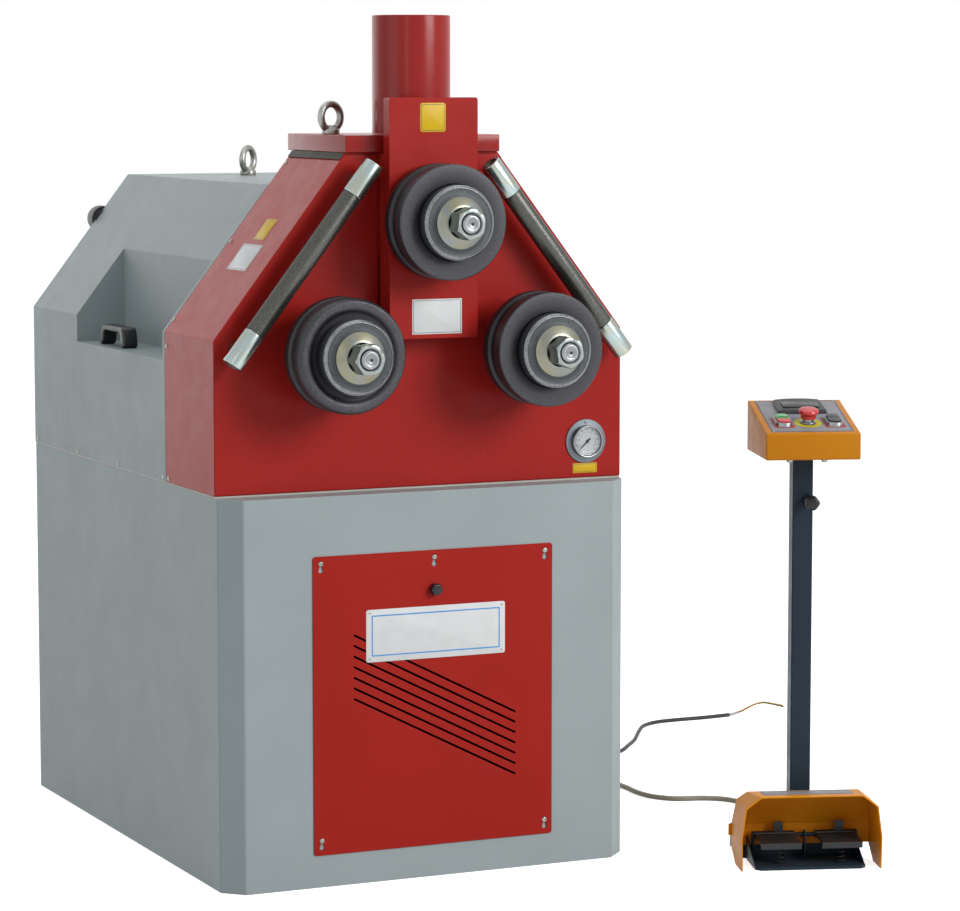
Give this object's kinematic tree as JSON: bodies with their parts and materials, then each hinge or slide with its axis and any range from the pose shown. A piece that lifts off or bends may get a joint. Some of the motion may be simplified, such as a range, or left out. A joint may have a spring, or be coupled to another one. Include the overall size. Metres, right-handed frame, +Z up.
{
  "type": "three-roll ring and section bender",
  "caption": "Floor-standing hydraulic ring and section bender: gabled red roll head on a grey cabinet, with a control pedestal, foot pedals and cables",
  "frame": {"origin": "Centre of the underside of the machine's cabinet, on the floor it stands on.", "axes": "+Z is up. -Y is the front, where the three rolls are. +X is to the right of someone who faces the front."},
  "size_m": [1.9129, 1.582, 1.6349],
  "materials": {
    "grey_paint": "light grey enamel, smooth",
    "red_paint": "deep red enamel, glossy",
    "bright_red_paint": "bright red powder coat",
    "dark_steel": "oiled, blackened tool steel",
    "turned_steel": "turned bright",
    "zinc": "yellowish zinc plating",
    "plate_steel": "dark grey primed plate",
    "black_plastic": "moulded, satin",
    "dark_paint": "blue-black enamel",
    "orange_paint": "orange-yellow enamel",
    "red_plastic": "moulded, glossy",
    "green_plastic": "moulded, glossy",
    "grey_rubber": "matt cable sheath",
    "black_rubber": "matt cable sheath",
    "clear_glass": "flat, clear"
  },
  "bodies": {
    "root": {"base_cabinet": "grey_paint", "rear_housing": "grey_paint", "electrical_box": "grey_paint", "front_cover": "red_paint", "press_cylinder": "red_paint", "frame": "plate_steel", "lower_gearbox": "plate_steel", "left_bearing": "turned_steel", "right_bearing": "turned_steel", "left_guide_bar": "dark_steel", "right_guide_bar": "dark_steel", "left_lower_sleeve": "zinc", "left_upper_sleeve": "zinc", "right_lower_sleeve": "zinc", "right_upper_sleeve": "zinc", "eye_bolt_front": "zinc", "eye_bolt_rear": "zinc", "gauge_case": "zinc", "gauge_glass": "clear_glass", "recess_handle": "black_plastic", "rear_cap": "black_plastic", "gland_plate": "black_plastic", "power_pack": "dark_paint", "pedestal_base": "dark_paint", "post": "dark_paint", "pedal_hood": "orange_paint", "spring_left": "turned_steel", "spring_right": "turned_steel", "control_cable": "grey_rubber", "supply_lead": "black_rubber"},
    "access_panel": {"front_panel": "bright_red_paint"},
    "quarter_turn_knob": {"panel_knob": "black_plastic"},
    "ram_slide": {"ram": "red_paint", "piston_rod": "turned_steel", "top_drive": "plate_steel", "top_bearing": "turned_steel"},
    "top_roll_set": {"top_shaft": "turned_steel", "top_roll": "dark_steel", "top_collar": "dark_steel", "top_clamp_nut": "zinc"},
    "left_roll_set": {"left_shaft": "turned_steel", "left_roll": "dark_steel", "left_collar": "dark_steel", "left_clamp_nut": "zinc"},
    "right_roll_set": {"right_shaft": "turned_steel", "right_roll": "dark_steel", "right_collar": "dark_steel", "right_clamp_nut": "zinc"},
    "needle": {"gauge_needle": "black_plastic"},
    "left_pedal": {"pedal_left": "black_plastic"},
    "right_pedal": {"pedal_right": "black_plastic"},
    "clamp_knob": {"post_knob": "black_plastic"},
    "control_head": {"control_box": "orange_paint", "display_unit": "black_plastic"},
    "estop_plunger": {"estop_stem": "black_plastic"},
    "estop_cap": {"estop_button": "red_plastic"},
    "start_key": {"start_button": "green_plastic"},
    "stop_key": {"stop_button": "red_plastic"},
    "raise_key": {"raise_button": "black_plastic"},
    "lower_key": {"lower_button": "black_plastic"}
  },
  "joints": [
    {"name": "panel_lift", "type": "slide", "parent": "root", "child": "access_panel", "axis": [0, 0, 1], "range_m": [0, 0.013]},
    {"name": "panel_knob_turn", "type": "hinge", "parent": "access_panel", "child": "quarter_turn_knob", "pos_m": [0.002, -0.57, 0.555], "axis": [0, 1, 0], "range_deg": [0, 90]},
    {"name": "ram_press", "type": "slide", "parent": "root", "child": "ram_slide", "axis": [0, 0, -1], "range_m": [0, 0.145]},
    {"name": "top_roll_turn", "type": "hinge", "parent": "ram_slide", "child": "top_roll_set", "pos_m": [0, -0.6285, 1.2515], "axis": [0, 1, 0], "continuous": true},
    {"name": "left_roll_turn", "type": "hinge", "parent": "root", "child": "left_roll_set", "pos_m": [-0.2014, -0.6285, 1.009], "axis": [0, 1, 0], "continuous": true},
    {"name": "right_roll_turn", "type": "hinge", "parent": "root", "child": "right_roll_set", "pos_m": [0.2014, -0.6285, 1.009], "axis": [0, 1, 0], "continuous": true},
    {"name": "needle_sweep", "type": "hinge", "parent": "root", "child": "needle", "pos_m": [0.345, -0.529, 0.817], "axis": [0, 1, 0], "range_deg": [0, 270], "stiffness_Nm_per_rad": 0.0008, "springref_deg": -17.19},
    {"name": "left_pedal_press", "type": "hinge", "parent": "root", "child": "left_pedal", "pos_m": [0.66184, -0.71775, 0.049], "axis": [0.9472, -0.3206, 0], "range_deg": [0, 5], "stiffness_Nm_per_rad": 4.5, "springref_deg": -8.59, "deforming": ["spring_left"]},
    {"name": "right_pedal_press", "type": "hinge", "parent": "root", "child": "right_pedal", "pos_m": [0.77503, -0.75606, 0.049], "axis": [0.9472, -0.3206, 0], "range_deg": [0, 5], "stiffness_Nm_per_rad": 4.5, "springref_deg": -8.59, "deforming": ["spring_right"]},
    {"name": "clamp_knob_turn", "type": "hinge", "parent": "root", "child": "clamp_knob", "pos_m": [0.7247, -0.73164, 0.703], "axis": [0.3206, 0.9472, 0], "range_deg": [-360, 0]},
    {"name": "head_lift", "type": "slide", "parent": "root", "child": "control_head", "axis": [0, 0, 1], "range_m": [0, 0.12]},
    {"name": "estop_push", "type": "slide", "parent": "control_head", "child": "estop_plunger", "axis": [0.0718, 0.2121, -0.9746], "range_m": [0, 0.005]},
    {"name": "estop_twist", "type": "hinge", "parent": "estop_plunger", "child": "estop_cap", "pos_m": [0.70891, -0.75118, 0.85698], "axis": [-0.0718, -0.2121, 0.9746], "range_deg": [0, 35], "stiffness_Nm_per_rad": 0.05, "springref_deg": -5.73},
    {"name": "start_press", "type": "slide", "parent": "control_head", "child": "start_key", "axis": [0.0718, 0.2121, -0.9746], "range_m": [0, 0.003], "stiffness_N_per_m": 400, "springref_m": -0.003},
    {"name": "stop_press", "type": "slide", "parent": "control_head", "child": "stop_key", "axis": [0.0718, 0.2121, -0.9746], "range_m": [0, 0.003], "stiffness_N_per_m": 400, "springref_m": -0.003},
    {"name": "raise_press", "type": "slide", "parent": "control_head", "child": "raise_key", "axis": [0.0718, 0.2121, -0.9746], "range_m": [0, 0.003], "stiffness_N_per_m": 400, "springref_m": -0.003},
    {"name": "lower_press", "type": "slide", "parent": "control_head", "child": "lower_key", "axis": [0.0718, 0.2121, -0.9746], "range_m": [0, 0.003], "stiffness_N_per_m": 400, "springref_m": -0.003}
  ],
  "couplings": [
    {"joint": "right_roll_turn", "follows": "left_roll_turn", "ratio": 1},
    {"joint": "top_roll_turn", "follows": "left_roll_turn", "ratio": -1}
  ]
}
